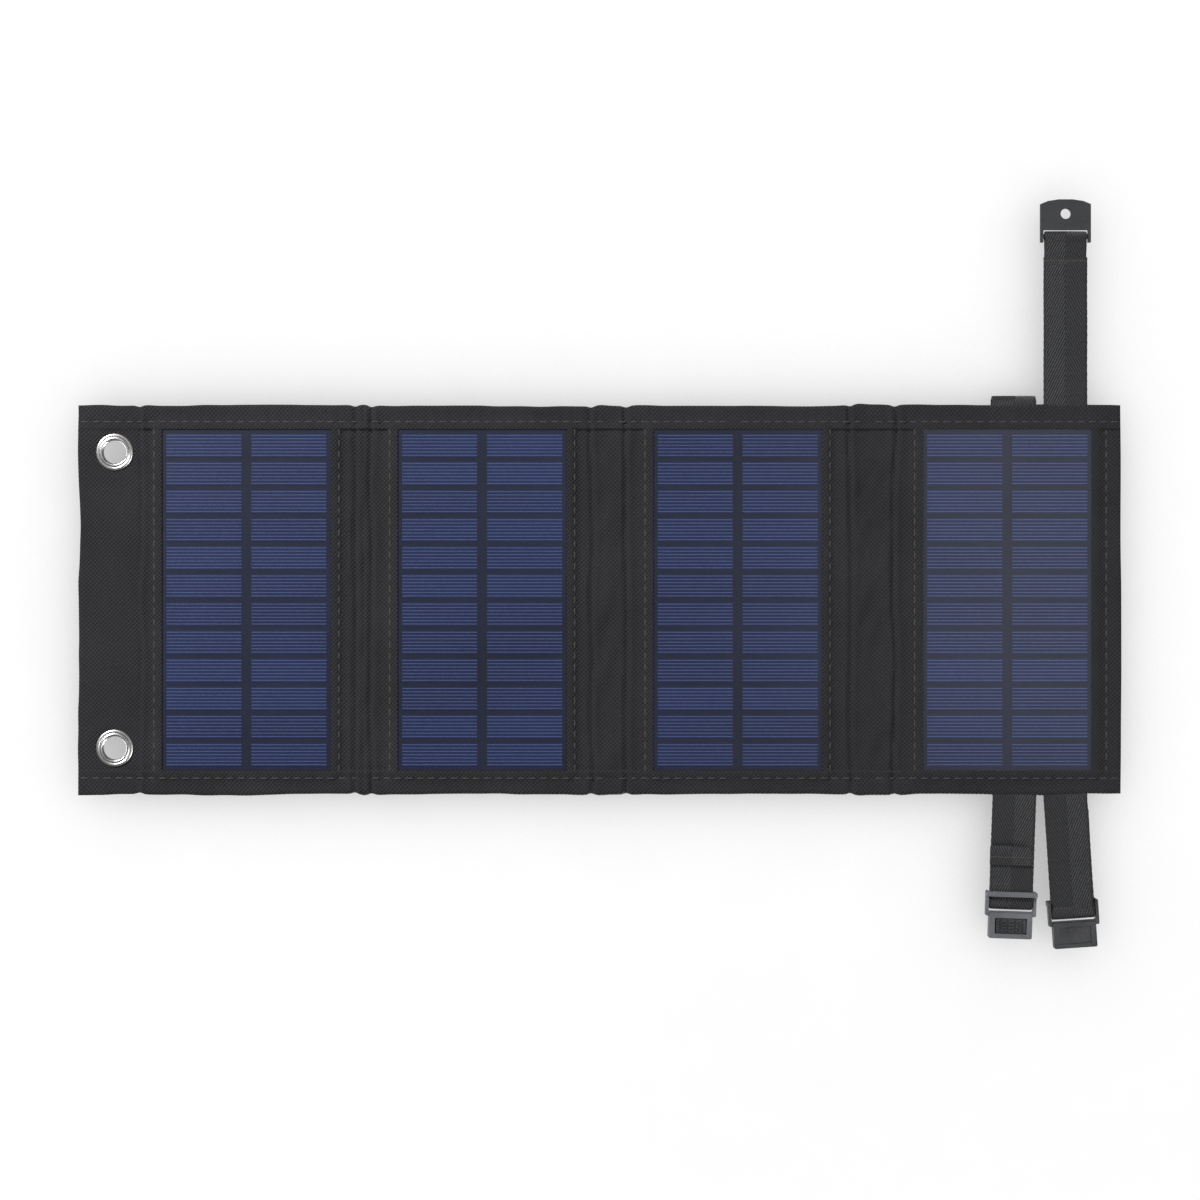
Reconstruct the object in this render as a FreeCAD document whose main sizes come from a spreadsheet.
"""Folding solar panel: four laminated solar plates sewn into cloth, a grommet flap at one end,
a pocket and four buckled straps at the other, and a USB box on the third panel.

Frame: millimetres. X runs from the grommet flap to the pocket end, Z is up with the pocket's mouth
upwards, the cloth back faces -Y (its outer face is the plane Y = 0) and the cells face +Y.
The origin is the middle of the unfolded sheet, on the outer face of its back cloth.
"""
import FreeCAD, Part
import os
import Sketcher

V = FreeCAD.Vector

# Driving dimensions. Places along the sheet are measured from the flap's free edge.
# A name ending in _low, _top, _in or _out is a place, not a size.
DIMENSIONS = dict(
    # small distances used throughout
    hairline=0.05, slack=0.1, overlap=0.2, overrun=1.0,
    # sheet: outline, folds between panels, and where each laminate starts
    half_len=223.5, half_tall=83.5, flap_end=26.0,
    fold_12_start=118.5, fold_12_end=125.5,
    fold_23_start=219.8, fold_23_end=234.8,
    fold_34_start=330.9, fold_34_end=349.9,
    laminate_1=34.5, laminate_2=135.5, laminate_3=245.0, laminate_4=360.5,
    # cloth: gaps at the folds, long-edge hems and the lips over the laminate's ends
    cloth=0.5, back_gap=0.55, low_gap=1.35, end_low_gap=2.2,
    hem_gap=1.95, hem_wide=7.5, hem_low=1.8, hem_foot=0.2,
    lip_in=73.5, lip_low=3.05, lip_top=3.5, lip_foot=0.5, lip_lap=0.6, lip_reach=2.2,
    front_low=1.2, front_tall=75.4,
    border_gap=0.3, border_out=0.8, border_lap=1.5, border_half=73.0,
    spine_low=1.1, spine_gap=1.2,
    # laminates, cells and backing boards
    laminate_wide=75.0, laminate_half=74.5, laminate_low=1.0, laminate_thick=1.85,
    cell_thick=0.15, cell_wide=32.2, cell_tall=10.1, cell_pitch=12.05, cell_gap=4.2,
    cell_rows=12,
    board_wide=60.0, board_half=67.0, board_low=0.55, board_thick=0.4,
    # wires, their solder pads, and the thicker leads to the box
    wire_dia=0.4, wire_y=0.78, wire_upper_z=-56.0, wire_lower_z=-62.0, wire_gap=0.8,
    wire_in=5.0, solder_wide=3.0, solder_thick=0.3, solder_tall=2.0, solder_sink=0.1,
    lead_long=3.05, lead_apart=2.0,
    # flap and eyelets
    flap_gap=0.7, flap_front_gap=2.6, flap_front_low=0.6,
    eye_at=15.3, eye_z=63.5, eye_hole=5.0, eye_barrel=5.55, eye_rim=8.0, cloth_hole=5.75,
    axis_half=5.0,
    # USB box
    box_at=301.6, box_z=-47.6, box_wide=24.2, box_tall=34.0, box_deep=11.0, box_base=1.2,
    box_wall=1.4, box_round=3.0, box_end_round=0.8, lead_hole=2.5,
    port_wide=13.2, port_deep=5.8, port_y=-5.1, port_clear=0.15, port_wall=0.35,
    port_over=0.5, socket_long=14.0, socket_open=12.5, tongue_out=-5.0, tongue_in=-3.1,
    led_dia=2.6, led_up=1.0, led_bore=4.0, led_long=4.2, led_foot=3.9, led_dome=0.9,
    regulator_out=-3.4, regulator_in=-2.2, regulator_inset=2.0, regulator_drop=15.2,
    regulator_hole=0.6, regulator_hole_down=9.0, components_down=3.0,
    # pocket
    pocket_top_start=363.6, pocket_foot_start=358.0, pocket_top=50.2, pocket_deep=3.1,
    pocket_gap=0.02, pocket_seam=1.6,
    # strap webs and their loops around the buckle bars
    web_wide=18.8, web_thick=1.1, web_gap=0.62, column_1=401.3, column_2=423.2,
    root_z=85.0, root_y=1.15, wrap_at=23.5, anchor_in=76.8, anchor_over=0.45,
    slot_wide=19.4, bar_rad=1.0, bar_inset=0.3, loop_in=1.15, loop_out=2.25, loop_inset=0.4,
    web_end_gap=0.15, web_loop_lap=0.3,
    tail_inset=0.3, tail_lap=0.4, tail_in=2.05, tail_1=19.0, tail_2=44.0,
    # female buckles: Z places are measured from the bar
    female_bar_1=45.5, female_bar_2=49.5, lean_1=2.0, lean_2=-3.8,
    frame_wide=18.4, frame_thick=5.2, frame_low=3.7, frame_top=14.6,
    ear_wide=21.6, ear_low=-5.6, ear_thick=3.8, ear_lap=1.4, ear_clear=0.15, ear_cut=0.5,
    rail_in=3.4, rail_out=4.6, rail_top=-3.4, rail_foot=1.7,
    mouth_wide=14.8, mouth_thick=2.6, mouth_floor=1.3,
    window_wide=13.6, window_low=5.9, window_top=12.6, panel_sink=0.5, panel_down=0.3,
    button_wide=12.6, button_thick=1.25, button_proud=0.35,
    button_low_gap=0.25, button_top_gap=0.45,
    rib_inset=0.8, rib_first=1.0, rib_pitch=1.25, rib_tall=0.6, rib_proud=0.6,
    peg_rad=2.2, peg_at=9.6, peg_clear=0.5, peg_sink=0.5, peg_long=1.1,
    cut_half=3.0,
    # catch plates of the male buckles: Z places are measured from the bar
    male_bar=71.0, plate_wide=21.6, plate_thick=2.3, plate_foot=-2.6, plate_tip=15.8,
    plate_slot=2.75, arm_wide=1.25, tray_wide=15.5, tray_low=5.6, tray_top=13.4,
    tray_floor=0.35, tip_corner=2.0, tip_slope=0.7, tip_inset=3.2, tip_half=3.0,
    # the male strap folded up over the pocket
    folded_root_z=-87.3, folded_root_y=-2.3, folded_plane=-5.0, folded_wrap=26.7,
    folded_bar=93.5, folded_bar_y=-6.8, folded_start=1.3,
    foot_low=0.2, foot_top=1.4, foot_in=-0.9,
)
SHEET_END = "2*half_len"

doc = FreeCAD.newDocument("folding_solar_panel")
sheet = doc.addObject("Spreadsheet::Sheet", "Dims")
for row, (alias, value) in enumerate(DIMENSIONS.items(), 1):
    sheet.set(f"A{row}", alias)
    sheet.set(f"B{row}", str(value))
    sheet.setAlias(f"B{row}", alias)
doc.recompute()

# The probe evaluates expressions for the starting geometry of the sketches.
probe = doc.addObject("App::FeaturePython", "Probe")
probe.addProperty("App::PropertyFloat", "Value")
nodes = []


# --------------------------------------------------------------- expressions and spans
def bound(text):
    """The expression with the sheet's name put before each alias."""
    out, word = "", ""
    for character in text + " ":
        if character.isalnum() or character == "_":
            word += character
            continue
        out += ("Dims." + word if word in DIMENSIONS else word) + character
        word = ""
    return out.strip()


def number(text):
    probe.setExpression("Value", bound(text))
    probe.recompute()
    return float(probe.Value)


def at(distance):
    """A distance from the flap's edge as an X position."""
    return f"(({distance})-half_len)"


def across(wide, centre="0"):
    """A span of a given width around a centre."""
    return f"({centre})-({wide})/2", f"({centre})+({wide})/2"


def both_sides(half):
    return f"-({half})", half


def inset(span, by):
    return f"({span[0]})+({by})", f"({span[1]})-({by})"


def mirrored(span):
    return f"-({span[1]})", f"-({span[0]})"


# --------------------------------------------------------------- sketches and features
def plane(body, role):
    return next(feature for feature in body.Origin.OriginFeatures if feature.Role == role)


def new_body(label, compound=False):
    body = doc.addObject("PartDesign::Body", label)
    body.Label = label
    if compound:
        body.AllowCompound = True
    nodes.append(body)
    return body


def new_sketch(body, role, offset):
    """A sketch on one of the body's origin planes, moved along that plane's normal."""
    profile = body.newObject("Sketcher::SketchObject", "Sketch")
    profile.AttachmentSupport = [(plane(body, role), "")]
    profile.MapMode = "FlatFace"
    profile.setExpression("AttachmentOffset.Base.z", bound(offset))
    return profile


def constrain(profile, text, *constraint):
    """Adds a dimension and binds it to the sheet."""
    index = profile.addConstraint(Sketcher.Constraint(*constraint, number(text)))
    profile.setExpression(f"Constraints[{index}]", bound(text))


def pin(profile, geometry, point, u, v):
    """Binds a point's distances from the sketch's origin to the sheet."""
    constrain(profile, u, "DistanceX", -1, 1, geometry, point)
    constrain(profile, v, "DistanceY", -1, 1, geometry, point)


def closed_lines(profile, corners):
    """Lines joined end to end; returns the index of the first."""
    first, count = len(profile.Geometry), len(corners)
    points = [V(number(u), number(v), 0) for u, v in corners]
    for i in range(count):
        profile.addGeometry(Part.LineSegment(points[i], points[(i + 1) % count]), False)
    for i in range(count):
        profile.addConstraint(
            Sketcher.Constraint("Coincident", first + i, 2, first + (i + 1) % count, 1))
    return first


def rectangle(profile, u, v):
    """A rectangle over the spans u and v, pinned at two opposite corners."""
    first = closed_lines(profile, [(u[0], v[0]), (u[1], v[0]), (u[1], v[1]), (u[0], v[1])])
    for i, kind in enumerate(("Horizontal", "Vertical", "Horizontal", "Vertical")):
        profile.addConstraint(Sketcher.Constraint(kind, first + i))
    pin(profile, first, 1, u[0], v[0])
    pin(profile, first + 2, 1, u[1], v[1])


def polygon(profile, corners):
    first = closed_lines(profile, corners)
    for i, (u, v) in enumerate(corners):
        pin(profile, first + i, 1, u, v)


def circle(profile, u, v, radius):
    centre = V(number(u), number(v), 0)
    geometry = profile.addGeometry(Part.Circle(centre, V(0, 0, 1), number(radius)), False)
    constrain(profile, radius, "Radius", geometry)
    pin(profile, geometry, 3, u, v)


def extrude(body, kind, profile, length, reverse):
    feature = body.newObject("PartDesign::" + kind, kind)
    feature.Profile = profile
    feature.Reversed = reverse
    feature.setExpression("Length", bound(length))
    profile.Visibility = False
    return feature


def pad(body, profile, length, reverse=False):
    return extrude(body, "Pad", profile, length, reverse)


def pocket(body, profile, length, reverse=False):
    return extrude(body, "Pocket", profile, length, reverse)


# On the XZ plane a sketch's u is X, its v is Z and its normal is -Y, so a face at depth y has
# offset -y, and both a reversed pad and a plain pocket go towards +Y.
def slab(body, x, z, y, holes=(), windows=()):
    """A plate over three spans, with optional (x, z, radius) holes and (x, z) windows."""
    profile = new_sketch(body, "XZ_Plane", f"-({y[0]})")
    rectangle(profile, x, z)
    for window in windows:
        rectangle(profile, *window)
    for hole in holes:
        circle(profile, *hole)
    return pad(body, profile, f"({y[1]})-({y[0]})", reverse=True)


def cut_slab(body, x, z, y):
    profile = new_sketch(body, "XZ_Plane", f"-({y[0]})")
    rectangle(profile, x, z)
    pocket(body, profile, f"({y[1]})-({y[0]})")


def drill(body, x, z, radius, y):
    profile = new_sketch(body, "XZ_Plane", f"-({y[0]})")
    circle(profile, x, z, radius)
    pocket(body, profile, f"({y[1]})-({y[0]})")


# On the YZ plane a sketch's u is Y, its v is Z and its normal is +X.
def edge_runs(body, *runs):
    """Outlines in Y and Z carried along X, at the upper long edge and then at the lower."""
    for sign in ("", "-"):
        for outline, x in runs:
            profile = new_sketch(body, "YZ_Plane", x[0])
            polygon(profile, [(y, f"{sign}({z})") for y, z in outline])
            pad(body, profile, f"({x[1]})-({x[0]})")


def primitive(kind, x, y, z, rotation=None, **sizes):
    solid = doc.addObject("Part::" + kind, kind)
    for name, text in sizes.items():
        solid.setExpression(name, bound(text))
    if rotation:
        solid.Placement.Rotation = rotation
    for axis, text in (("x", x), ("y", y), ("z", z)):
        solid.setExpression("Placement.Base." + axis, bound(text))
    return solid


ALONG_X = FreeCAD.Rotation(V(0, 1, 0), 90)
TOWARDS_BACK = FreeCAD.Rotation(V(1, 0, 0), 90)  # a cylinder's axis turned to -Y


def group(label, shapes):
    """Several primitives joined into one node."""
    fuse = doc.addObject("Part::MultiFuse", label)
    fuse.Label = label
    fuse.Shapes = shapes
    nodes.append(fuse)


# --------------------------------------------------------------- panels
# number, start, end, start of the laminate
PANELS = [
    (1, "flap_end", "fold_12_start", "laminate_1"),
    (2, "fold_12_end", "fold_23_start", "laminate_2"),
    (3, "fold_23_end", "fold_34_start", "laminate_3"),
    (4, "fold_34_end", SHEET_END, "laminate_4"),
]
WIRE_HEIGHTS = ("wire_upper_z", "wire_lower_z")
LEAD_HOLE = (at("box_at"), "box_z", "lead_hole")

# (y, z) outlines at the upper long edge: the cloth turned over into a hem, and the hem's lip
HEM = [
    ("hem_foot", "half_tall"), ("hem_foot", "half_tall-cloth"),
    ("hem_low", "half_tall-cloth"), ("hem_low", "half_tall-hem_wide"),
    ("hem_low+cloth", "half_tall-hem_wide"), ("hem_low+cloth", "half_tall"),
]
LIP = [
    ("hem_low", "half_tall-hem_wide"), ("hem_low", "half_tall-hem_wide-lip_foot"),
    ("lip_low", "half_tall-hem_wide-lip_foot"), ("lip_low", "lip_in"),
    ("lip_top", "lip_in"), ("lip_top", "half_tall-hem_wide+lip_lap"),
    ("hem_low+overlap", "half_tall-hem_wide+lip_lap"),
    ("hem_low", "half_tall-hem_wide+lip_lap"),
]


def back_cloth(index, back_x, hem_x, laminate_x, holes, last):
    """The back sheet, hemmed along both long edges, with lips lapping the laminate's ends."""
    body = new_body(f"panel_{index}_back_cloth")
    slab(body, back_x, both_sides("half_tall"), ("0", "cloth"), holes)
    edge_runs(body, (HEM, hem_x), (LIP, inset(laminate_x, "-lip_reach")))
    if last:
        # the free end's hem, and the slots where the straps leave the long edges
        slab(body, (at(f"{SHEET_END}-cloth"), at(SHEET_END)), both_sides("half_tall-slack"),
             ("cloth-overlap", "hem_low+cloth"))
        slot_z = ("half_tall-cloth-slack", "half_tall+slack")
        for column in ("column_1", "column_2"):
            for z in (slot_z, mirrored(slot_z)):
                cut_slab(body, across("slot_wide", at(column)), z, ("cloth", "hem_low"))


def front_cloth(index, front_x, laminate_x):
    """A frame around the laminate, low beside it and lapping its long edges."""
    body = new_body(f"panel_{index}_front_cloth")
    opening = (inset(laminate_x, "-border_gap"), both_sides("laminate_half+border_gap"))
    slab(body, front_x, both_sides("front_tall"), ("front_low", "front_low+cloth"),
         windows=[opening])
    start, end = laminate_x
    wall_y, lap_y = ("front_low+slack", "lip_top-slack"), ("lip_low", "lip_top")
    for x, y in (
        ((f"{start}-border_out", f"{start}-border_gap"), wall_y),
        ((f"{end}+border_gap", f"{end}+border_out"), wall_y),
        ((f"{start}-border_out", f"{start}+border_lap"), lap_y),
        ((f"{end}-border_lap", f"{end}+border_out"), lap_y),
    ):
        slab(body, x, both_sides("border_half"), y)


def cells(index, middle):
    """Two columns of cells on the laminate's face."""
    body = new_body(f"panel_{index}_cells", compound=True)
    profile = new_sketch(body, "XZ_Plane", "-(laminate_low+laminate_thick)")
    foot = "-(cell_pitch*(cell_rows-1)+cell_tall)/2"
    row_z = (foot, f"({foot})+cell_tall")
    rectangle(profile, (f"{middle}-cell_gap/2-cell_wide", f"{middle}-cell_gap/2"), row_z)
    rectangle(profile, (f"{middle}+cell_gap/2", f"{middle}+cell_gap/2+cell_wide"), row_z)
    first_row = pad(body, profile, "cell_thick", reverse=True)
    doc.recompute()
    rows = body.newObject("PartDesign::LinearPattern", "Rows")
    rows.Originals = [first_row]
    rows.Direction = (profile, ["V_Axis"])
    rows.setExpression("Length", bound("cell_pitch*(cell_rows-1)"))
    rows.setExpression("Occurrences", bound("cell_rows"))
    body.Tip = rows


def wire(start, end, z):
    return primitive("Cylinder", start, "wire_y", z, ALONG_X,
                     Radius="wire_dia/2", Height=f"({end})-({start})")


def solder_pad(x, z):
    return primitive("Box", f"{x}-solder_wide/2", "wire_y-solder_sink", f"{z}-solder_tall/2",
                     Length="solder_wide", Width="solder_thick", Height="solder_tall")


def panel_wires(index, start, end, laminate, last):
    """Link wires from solder pads under the laminate to the folds beside it, and box leads."""
    runs = []  # start, end, solder pad
    if index > 1:
        pad_x = at(f"{laminate}+wire_in")
        runs.append((at(f"{start}+wire_gap"), pad_x, pad_x))
    if not last:
        pad_x = at(f"{laminate}+laminate_wide-wire_in")
        runs.append((pad_x, at(f"{end}-wire_gap"), pad_x))
    shapes = []
    for run_start, run_end, pad_x in runs:
        for z in WIRE_HEIGHTS:
            shapes += [wire(run_start, run_end, z), solder_pad(pad_x, z)]
    if index == 3:
        for z in across("lead_apart", "box_z"):
            shapes.append(primitive("Cylinder", at("box_at"), "laminate_low-hairline", z,
                                    TOWARDS_BACK, Radius="wire_dia", Height="lead_long"))
    group(f"panel_{index}_wires", shapes)


def panel(index, start, end, laminate):
    last = end == SHEET_END
    start_gap = "flap_gap" if index == 1 else "back_gap"
    back_end, hem_end, low_end = (
        ("0", "0", "end_low_gap") if last else ("back_gap", "hem_gap", "low_gap"))
    back_x = (at(f"{start}+{start_gap}"), at(f"{end}-{back_end}"))
    hem_x = (at(f"{start}+hem_gap"), at(f"{end}-{hem_end}"))
    front_x = (at(f"{start}+low_gap"), at(f"{end}-{low_end}"))
    laminate_x = (at(laminate), at(f"{laminate}+laminate_wide"))
    middle = at(f"{laminate}+laminate_wide/2")
    holes = [LEAD_HOLE] if index == 3 else []

    back_cloth(index, back_x, hem_x, laminate_x, holes, last)
    front_cloth(index, front_x, laminate_x)
    body = new_body(f"panel_{index}_backing_board")
    slab(body, across("board_wide", middle), both_sides("board_half"),
         ("board_low", "board_low+board_thick"), holes)
    body = new_body(f"panel_{index}_laminate")
    slab(body, laminate_x, both_sides("laminate_half"),
         ("laminate_low", "laminate_low+laminate_thick"))
    cells(index, middle)
    panel_wires(index, start, end, laminate, last)


# --------------------------------------------------------------- folds
# (y, z) outline of the seam at the upper long edge
FOLD_SEAM = [
    ("hem_foot", "half_tall"), ("hem_foot", "half_tall-cloth"),
    ("spine_low+slack", "half_tall-cloth"), ("spine_low+slack", "half_tall"),
]


def fold(name):
    """A sleeve joined along both long edges and hollow for the wires that cross it."""
    start, end = f"fold_{name}_start", f"fold_{name}_end"
    tall = both_sides("half_tall")
    body = new_body(f"fold_{name}_cloth")
    slab(body, (at(f"{start}+back_gap"), at(f"{end}-back_gap")), tall, ("0", "cloth"))
    spine_x = (at(f"{start}+spine_gap"), at(f"{end}-spine_gap"))
    edge_runs(body, (FOLD_SEAM, spine_x))
    slab(body, spine_x, tall, ("spine_low", "spine_low+cloth-slack"))
    group(f"fold_{name}_wires",
          [wire(at(f"{start}+wire_gap"), at(f"{end}-wire_gap"), z) for z in WIRE_HEIGHTS])


# --------------------------------------------------------------- grommet flap
# (radius, y) outlines of the rings
EYELET = [
    ("eye_hole", "-0.75"), ("eye_barrel", "-0.75"), ("eye_barrel", "1.65"),
    ("eye_rim-0.2", "1.65"), ("eye_rim", "1.85"), ("eye_rim-0.25", "2.2"),
    ("eye_rim-0.9", "2.5"), ("eye_hole+1.0", "2.6"), ("eye_hole+0.35", "2.4"),
    ("eye_hole", "1.9"),
]
WASHER = [
    ("eye_barrel+0.03", "-0.75"), ("eye_barrel+0.5", "-0.9"), ("eye_rim-0.8", "-0.75"),
    ("eye_rim-0.15", "-0.4"), ("eye_rim", "-0.05"), ("eye_barrel+0.03", "-0.05"),
]


def flap():
    holes = [(at("eye_at"), z, "cloth_hole") for z in ("eye_z", "-eye_z")]
    tall = both_sides("half_tall")
    top = "2*cloth+flap_front_low"
    body = new_body("flap_back_cloth")
    slab(body, (at("0"), at("flap_end-flap_gap")), tall, ("0", "cloth"), holes)
    slab(body, (at("0"), at("cloth")), tall, ("cloth-overlap", top))
    body = new_body("flap_front_cloth")
    slab(body, (at("cloth+hairline"), at("flap_end-flap_front_gap")), tall,
         ("cloth+flap_front_low", top), holes)


def eye_rings(label, outline):
    """A ring turned around the upper eyelet's axis and mirrored to the lower one."""
    body = new_body(label, compound=True)
    centre = at("eye_at")
    profile = new_sketch(body, "XY_Plane", "eye_z")
    polygon(profile, [(f"{centre}+({radius})", y) for radius, y in outline])
    axis = new_sketch(body, "XY_Plane", "eye_z")
    ends = [V(number(centre), number(y), 0) for y in both_sides("axis_half")]
    line = axis.addGeometry(Part.LineSegment(*ends), False)
    for point, y in enumerate(both_sides("axis_half"), 1):
        pin(axis, line, point, centre, y)
    ring = body.newObject("PartDesign::Revolution", "Ring")
    ring.Profile = profile
    ring.ReferenceAxis = (axis, ["Edge1"])
    ring.Angle = 360
    doc.recompute()
    pair = body.newObject("PartDesign::Mirrored", "Pair")
    pair.Originals = [ring]
    pair.MirrorPlane = (plane(body, "XY_Plane"), [""])
    body.Tip = pair
    profile.Visibility = axis.Visibility = False


# --------------------------------------------------------------- USB box
BOX_X = across("box_wide", at("box_at"))
BOX_Z = across("box_tall", "box_z")
LED_Z = "box_z+led_up"

# x and z of the centre from the box's middle, then width in X, height in Z, thickness in Y
COMPONENTS = [
    (-4.5, -5.5, 7.0, 7.0, 4.0),
    (5.0, -6.0, 4.0, 4.6, 1.8),
    (5.2, 0.0, 3.4, 3.0, 1.2),
    (-6.5, 0.3, 2.2, 1.4, 0.9),
]


def box_base():
    body = new_body("box_base")
    slab(body, inset(BOX_X, "box_wall+slack"), inset(BOX_Z, "box_wall+slack"),
         ("-box_base", "-hairline"), [LEAD_HOLE])


def round_edges(body, base, name, radius, wanted):
    """Fillets the edges of the base feature that pass the test."""
    doc.recompute()
    fillet = body.newObject("PartDesign::Fillet", name)
    fillet.Base = (base, [f"Edge{i}" for i, edge in enumerate(base.Shape.Edges, 1)
                          if wanted(edge)])
    fillet.setExpression("Radius", bound(radius))
    doc.recompute()
    return fillet


def is_long_outer_edge(edge):
    """On the box's outermost face and running along Z."""
    a, b = edge.Vertexes[0].Point, edge.Vertexes[-1].Point
    deep = DIMENSIONS["box_deep"]
    return abs(a.y + deep) < 0.01 and abs(b.y + deep) < 0.01 and abs(a.z - b.z) > 5


def is_outer_end_edge(edge):
    """In an end face, reaching the outer part that holds the long edges' rounding."""
    bounds = edge.BoundBox
    reach = -DIMENSIONS["box_deep"] + DIMENSIONS["box_round"] + 0.2
    return bounds.YMin < reach and (bounds.ZMax - bounds.ZMin) < 0.01


def box_shell():
    body = new_body("box_shell")
    block = slab(body, BOX_X, BOX_Z, ("-box_deep", "-hairline"))
    rounded = round_edges(body, block, "BoxLongEdges", "box_round", is_long_outer_edge)
    round_edges(body, rounded, "BoxEndEdges", "box_end_round", is_outer_end_edge)
    cut_slab(body, inset(BOX_X, "box_wall"), inset(BOX_Z, "box_wall"),
             ("-(box_deep-box_wall)", "overlap"))
    # port window in the upper end, and the hole for the indicator
    profile = new_sketch(body, "XY_Plane", f"{BOX_Z[1]}+port_over")
    rectangle(profile, across("port_wide+2*port_clear", at("box_at")),
              across("port_deep+2*port_clear", "port_y"))
    pocket(body, profile, "box_wall+overrun")
    drill(body, at("box_at"), LED_Z, "led_dia/2+slack",
          ("-(box_deep+overrun)", "-(box_deep+overrun-led_bore)"))


def usb_socket():
    """A block with a slot on each side of its tongue, open at the upper end."""
    body = new_body("usb_socket")
    port_y = across("port_deep", "port_y")
    profile = new_sketch(body, "XY_Plane", f"{BOX_Z[1]}-socket_long-overlap")
    rectangle(profile, across("port_wide", at("box_at")), port_y)
    pad(body, profile, "socket_long")
    doc.recompute()
    profile = new_sketch(body, "XY_Plane", f"{BOX_Z[1]}+port_over")
    slot_x = across("port_wide-2*port_wall", at("box_at"))
    slots_y = inset(port_y, "port_wall")
    rectangle(profile, slot_x, (slots_y[0], "tongue_out"))
    rectangle(profile, slot_x, ("tongue_in", slots_y[1]))
    pocket(body, profile, "socket_open")


def regulator():
    body = new_body("regulator_board")
    slab(body, inset(BOX_X, "regulator_inset"),
         (f"{BOX_Z[0]}+regulator_inset", f"{BOX_Z[1]}-regulator_drop"),
         ("regulator_out", "regulator_in"),
         [(at("box_at"), "box_z-regulator_hole_down", "regulator_hole")])
    group("regulator_parts", [
        primitive("Box", f"{at('box_at')}+({x}-{wide}/2)", f"regulator_out-{thick}",
                  f"box_z-components_down+({z}-{tall}/2)",
                  Length=str(wide), Width=str(thick), Height=str(tall))
        for x, z, wide, tall, thick in COMPONENTS
    ])


def indicator():
    group("indicator_led", [
        primitive("Cylinder", at("box_at"), "-(box_deep-led_foot)", LED_Z, TOWARDS_BACK,
                  Radius="led_dia/2", Height="led_long"),
        primitive("Sphere", at("box_at"), "-(box_deep-led_dome)", LED_Z, Radius="led_dia/2"),
    ])


# --------------------------------------------------------------- pocket
def pocket_outline(seam, rise):
    """The pocket's outline with a slanted starting side, drawn in by the seam."""
    return [
        (at(f"pocket_foot_start+{seam}"), f"-half_tall+{seam}"),
        (at(f"{SHEET_END}-{seam}"), f"-half_tall+{seam}"),
        (at(f"{SHEET_END}-{seam}"), f"pocket_top+{rise}"),
        (at(f"pocket_top_start+{seam}"), f"pocket_top+{rise}"),
    ]


def pocket_cloth():
    body = new_body("pocket_cloth")
    profile = new_sketch(body, "XZ_Plane", "pocket_deep")
    polygon(profile, pocket_outline("0", "0"))
    pad(body, profile, "pocket_deep-pocket_gap", reverse=True)
    doc.recompute()
    profile = new_sketch(body, "XZ_Plane", "pocket_deep-cloth")
    polygon(profile, pocket_outline("pocket_seam", "overrun"))
    pocket(body, profile, "pocket_deep")


# --------------------------------------------------------------- strap webs
# A strap piece is drawn with its root at the origin and the strap running up its own Z.
def strap_anchors(side, z):
    """The webs' sewn-in ends, one in each strap column."""
    group(f"{side}_strap_anchors", [
        primitive("Box", across("web_wide", at(column))[0], "root_y-web_thick/2", z,
                  Length="web_wide", Width="web_thick",
                  Height="half_tall+anchor_over-anchor_in")
        for column in ("column_1", "column_2")
    ])


def place(body, column, y, z, rotation):
    """Puts a strap piece's root at its column."""
    body.Placement = FreeCAD.Placement(V(0, 0, 0), rotation)
    for axis, text in (("x", at(column)), ("y", y), ("z", z)):
        body.setExpression("Placement.Base." + axis, bound(text))


def bar_loop(body, bar, y="0"):
    """The web's loop around a bar that runs along X."""
    profile = new_sketch(body, "YZ_Plane", "-(web_wide/2-loop_inset)")
    circle(profile, y, bar, "loop_out")
    pad(body, profile, "web_wide-2*loop_inset")
    doc.recompute()
    profile = new_sketch(body, "YZ_Plane", "-(web_wide+overrun)/2")
    circle(profile, y, bar, "loop_in")
    pocket(body, profile, "web_wide+overrun", reverse=True)


def web(label, z, y="0"):
    body = new_body(label)
    slab(body, across("web_wide"), z, across("web_thick", y))
    return body


def lower_web(label):
    return web(label, ("web_gap", "wrap_at-web_gap"))


def female_upper_web(label, bar):
    """Ends where the loop around the buckle's bar begins."""
    return web(label, ("wrap_at+web_gap", f"{bar}-loop_out-web_end_gap"))


def male_upper_web(label, wrap, bar, y="0", bar_y="0"):
    body = web(label, (f"{wrap}+web_gap", f"{bar}-loop_in-web_loop_lap"), y)
    bar_loop(body, bar, bar_y)
    return body


def tail_web(label, bar, tail):
    """The loop around the buckle's bar and the web's free end, hanging beside the strap."""
    body = new_body(label)
    bar_loop(body, bar)
    slab(body, across("web_wide-2*tail_inset"), (f"{bar}-{tail}", f"{bar}+tail_lap"),
         ("-tail_in-web_thick", "-tail_in"))
    return body


# --------------------------------------------------------------- buckles
def cross_bar(body, wide, bar, y="0"):
    profile = new_sketch(body, "YZ_Plane", f"-{wide}/2+bar_inset")
    circle(profile, y, bar, "bar_rad")
    pad(body, profile, f"{wide}-2*bar_inset")


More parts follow.
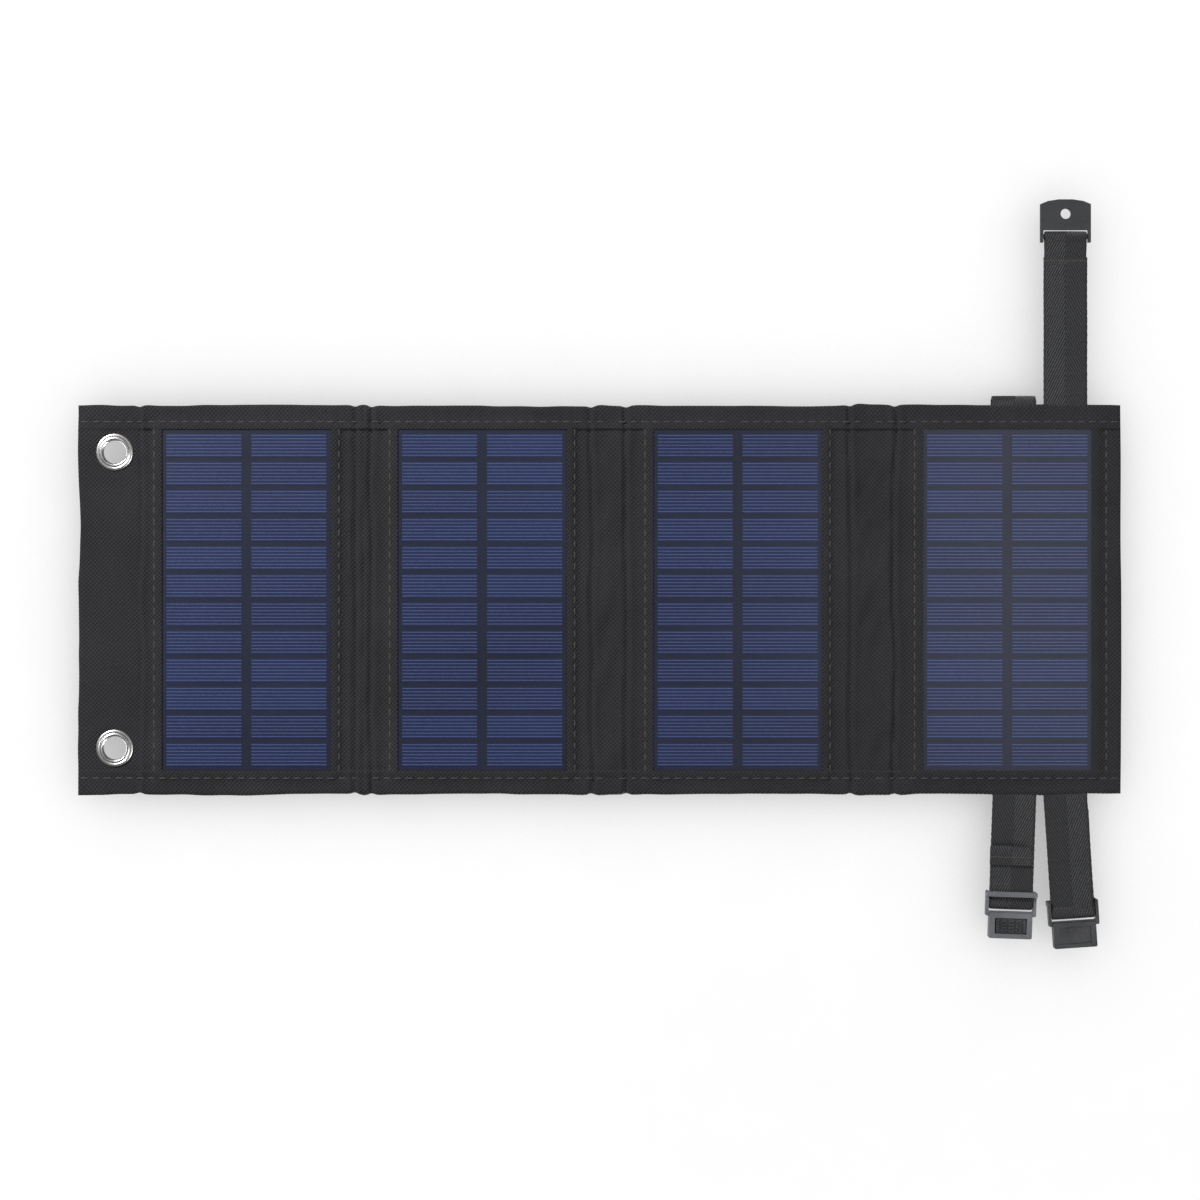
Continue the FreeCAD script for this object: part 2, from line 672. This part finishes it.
def latch_frame(label, bar):
    """Female buckle: two ears and a bar for the web, and a housing with mouth and window."""
    body = new_body(label)
    ear_x, web_x = across("ear_wide"), across("web_wide+2*ear_clear")
    slab(body, ear_x, (f"{bar}+ear_low", f"{bar}+frame_low+ear_lap"), across("ear_thick"))
    cut_slab(body, web_x, (f"{bar}+rail_top", f"{bar}+frame_low-ear_cut"),
             both_sides("cut_half"))
    # the foot rail crosses outside the web's free end, so both runs of the web pass behind it
    slab(body, ear_x, (f"{bar}+ear_low", f"{bar}+rail_top"), ("-rail_out", "-rail_foot"))
    cut_slab(body, web_x, (f"{bar}+ear_low-ear_cut", f"{bar}+rail_top+slack"),
             ("-rail_in", "cut_half"))
    cross_bar(body, "ear_wide", bar)
    slab(body, across("frame_wide"), (f"{bar}+frame_low", f"{bar}+frame_top"),
         across("frame_thick"))
    cut_slab(body, across("mouth_wide"),
             (f"{bar}+frame_low+mouth_floor", f"{bar}+frame_top+overrun"),
             across("mouth_thick"))
    cut_slab(body, across("window_wide"), (f"{bar}+window_low", f"{bar}+window_top"),
             ("-frame_thick", "0"))
    # shallow panel sunk in the other face
    cut_slab(body, across("window_wide-2*slack"),
             (f"{bar}+window_low-panel_down", f"{bar}+window_top+overlap"),
             ("frame_thick/2-panel_sink", "frame_thick"))
    return body


def latch_button(label, bar):
    """The ribbed pad in the window, with the peg that drops into the catch plate's hole."""
    body = new_body(label)
    face = "-frame_thick/2-button_proud"
    slab(body, across("button_wide"),
         (f"{bar}+window_low+button_low_gap", f"{bar}+window_top-button_top_gap"),
         (face, f"{face}+button_thick"))
    for row in range(4):
        rib = f"{bar}+window_low+rib_first+{row}*rib_pitch"
        slab(body, across("button_wide-2*rib_inset"), (rib, f"{rib}+rib_tall"),
             ("-frame_thick/2-rib_proud", "-frame_thick/2-overlap"))
    profile = new_sketch(body, "XZ_Plane", "frame_thick/2-peg_sink")
    circle(profile, "0", f"{bar}+peg_at", "peg_rad-peg_clear")
    pad(body, profile, "peg_long", reverse=True)
    return body


def catch_plate(label, bar, bar_y="0", folded=False):
    """Male buckle: a plate with a web bar between two arms, a shallow tray and a peg hole.

    The tip points away from the root and the tray faces -Y; a folded plate has its tip
    towards the root and its tray on +Y.
    """
    body = new_body(label)
    sign = "-" if folded else "+"

    def along(distance):
        return f"{bar}{sign}({distance})"

    def span(near, far):
        return (along(far), along(near)) if folded else (along(near), along(far))

    # one half of the outline from foot to tip, then the other half back
    half = [("plate_wide/2", "plate_foot"), ("plate_wide/2", "plate_tip-tip_corner"),
            ("plate_wide/2-tip_inset", "plate_tip-tip_slope"), ("tip_half", "plate_tip")]
    outline = half + [(f"-({x})", z) for x, z in reversed(half)]
    profile = new_sketch(body, "XZ_Plane", f"-({bar_y})+plate_thick/2")
    polygon(profile, [(x, along(z)) for x, z in outline])
    pad(body, profile, "plate_thick", reverse=True)
    cut_slab(body, across("plate_wide-2*arm_wide"), span("plate_foot-overrun", "plate_slot"),
             across("2*cut_half", bar_y))
    cross_bar(body, "plate_wide", bar, bar_y)
    if folded:
        tray_y = (f"({bar_y})+tray_floor", f"({bar_y})+plate_thick")
    else:
        tray_y = (f"({bar_y})-plate_thick", f"({bar_y})-tray_floor")
    cut_slab(body, across("tray_wide"), span("tray_low", "tray_top"), tray_y)
    drill(body, "0", along("peg_at"), "peg_rad", across("2*plate_thick", bar_y))
    return body


# --------------------------------------------------------------- straps
def female_strap(number_tag, turned):
    """A strap that leans a little in its own plane; a turned buckle's flat side faces -Y."""
    tag, bar = f"female_{number_tag}", f"female_bar_{number_tag}"
    lean = FreeCAD.Rotation(V(0, 1, 0), -DIMENSIONS[f"lean_{number_tag}"])
    buckle = lean.multiply(FreeCAD.Rotation(V(0, 0, 1), 180)) if turned else lean
    for piece, rotation in (
        (lower_web(f"strap_{tag}_lower_web"), lean),
        (female_upper_web(f"strap_{tag}_upper_web", bar), lean),
        (tail_web(f"strap_{tag}_tail_web", bar, f"tail_{number_tag}"), buckle),
        (latch_frame(f"latch_frame_{tag}", bar), buckle),
        (latch_button(f"latch_button_{tag}", bar), buckle),
    ):
        place(piece, f"column_{number_tag}", "root_y", "root_z", rotation)


def hanging_male_strap():
    """Male strap 2 hangs from the lower edge: turned over, so its own Z points down."""
    down = FreeCAD.Rotation(V(0, 1, 0), 180)
    for piece in (
        lower_web("strap_male_2_lower_web"),
        male_upper_web("strap_male_2_upper_web", "wrap_at", "male_bar"),
        catch_plate("catch_plate_male_2", "male_bar"),
    ):
        place(piece, "column_2", "root_y", "-root_z", down)


def folded_male_strap():
    """Male strap 1 is turned up over the pocket, with its catch plate folded back down."""
    plane_y = "folded_plane-folded_root_y"
    bar_y = "folded_bar_y-folded_root_y"
    lower = web("strap_male_1_lower_web", ("folded_start", "folded_wrap-web_gap"), plane_y)
    # the foot that reaches back towards the sheet
    slab(lower, across("web_wide"), ("foot_low", "foot_top"),
         (f"{plane_y}-web_thick/2", "foot_in"))
    for piece in (
        lower,
        male_upper_web("strap_male_1_upper_web", "folded_wrap", "folded_bar", plane_y, bar_y),
        catch_plate("catch_plate_male_1", "folded_bar", bar_y, folded=True),
    ):
        place(piece, "column_1", "folded_root_y", "folded_root_z", FreeCAD.Rotation())


# --------------------------------------------------------------- build
for row in PANELS:
    panel(*row)
for fold_name in ("12", "23", "34"):
    fold(fold_name)
flap()
eye_rings("eyelets", EYELET)
eye_rings("eyelet_washers", WASHER)
box_base()
box_shell()
usb_socket()
regulator()
indicator()
pocket_cloth()
strap_anchors("female", "anchor_in")
strap_anchors("male", "-half_tall-anchor_over")
female_strap(1, turned=True)
female_strap(2, turned=False)
hanging_male_strap()
folded_male_strap()

# --------------------------------------------------------------- checks and export
doc.recompute()
bad = [f"{item.Label} ({item.TypeId}): {item.State}" for item in doc.Objects
       if "Invalid" in item.State or "Error" in item.State]
for node in nodes:
    shape = node.Shape
    if shape.isNull() or not shape.isValid() or not shape.Solids:
        bad.append(f"{node.Label} has no valid solid")
if bad:
    raise RuntimeError("failed objects: " + "; ".join(bad))
os.makedirs("parts", exist_ok=True)
for node in nodes:
    node.Shape.exportStep(f"parts/{node.Label}.step")
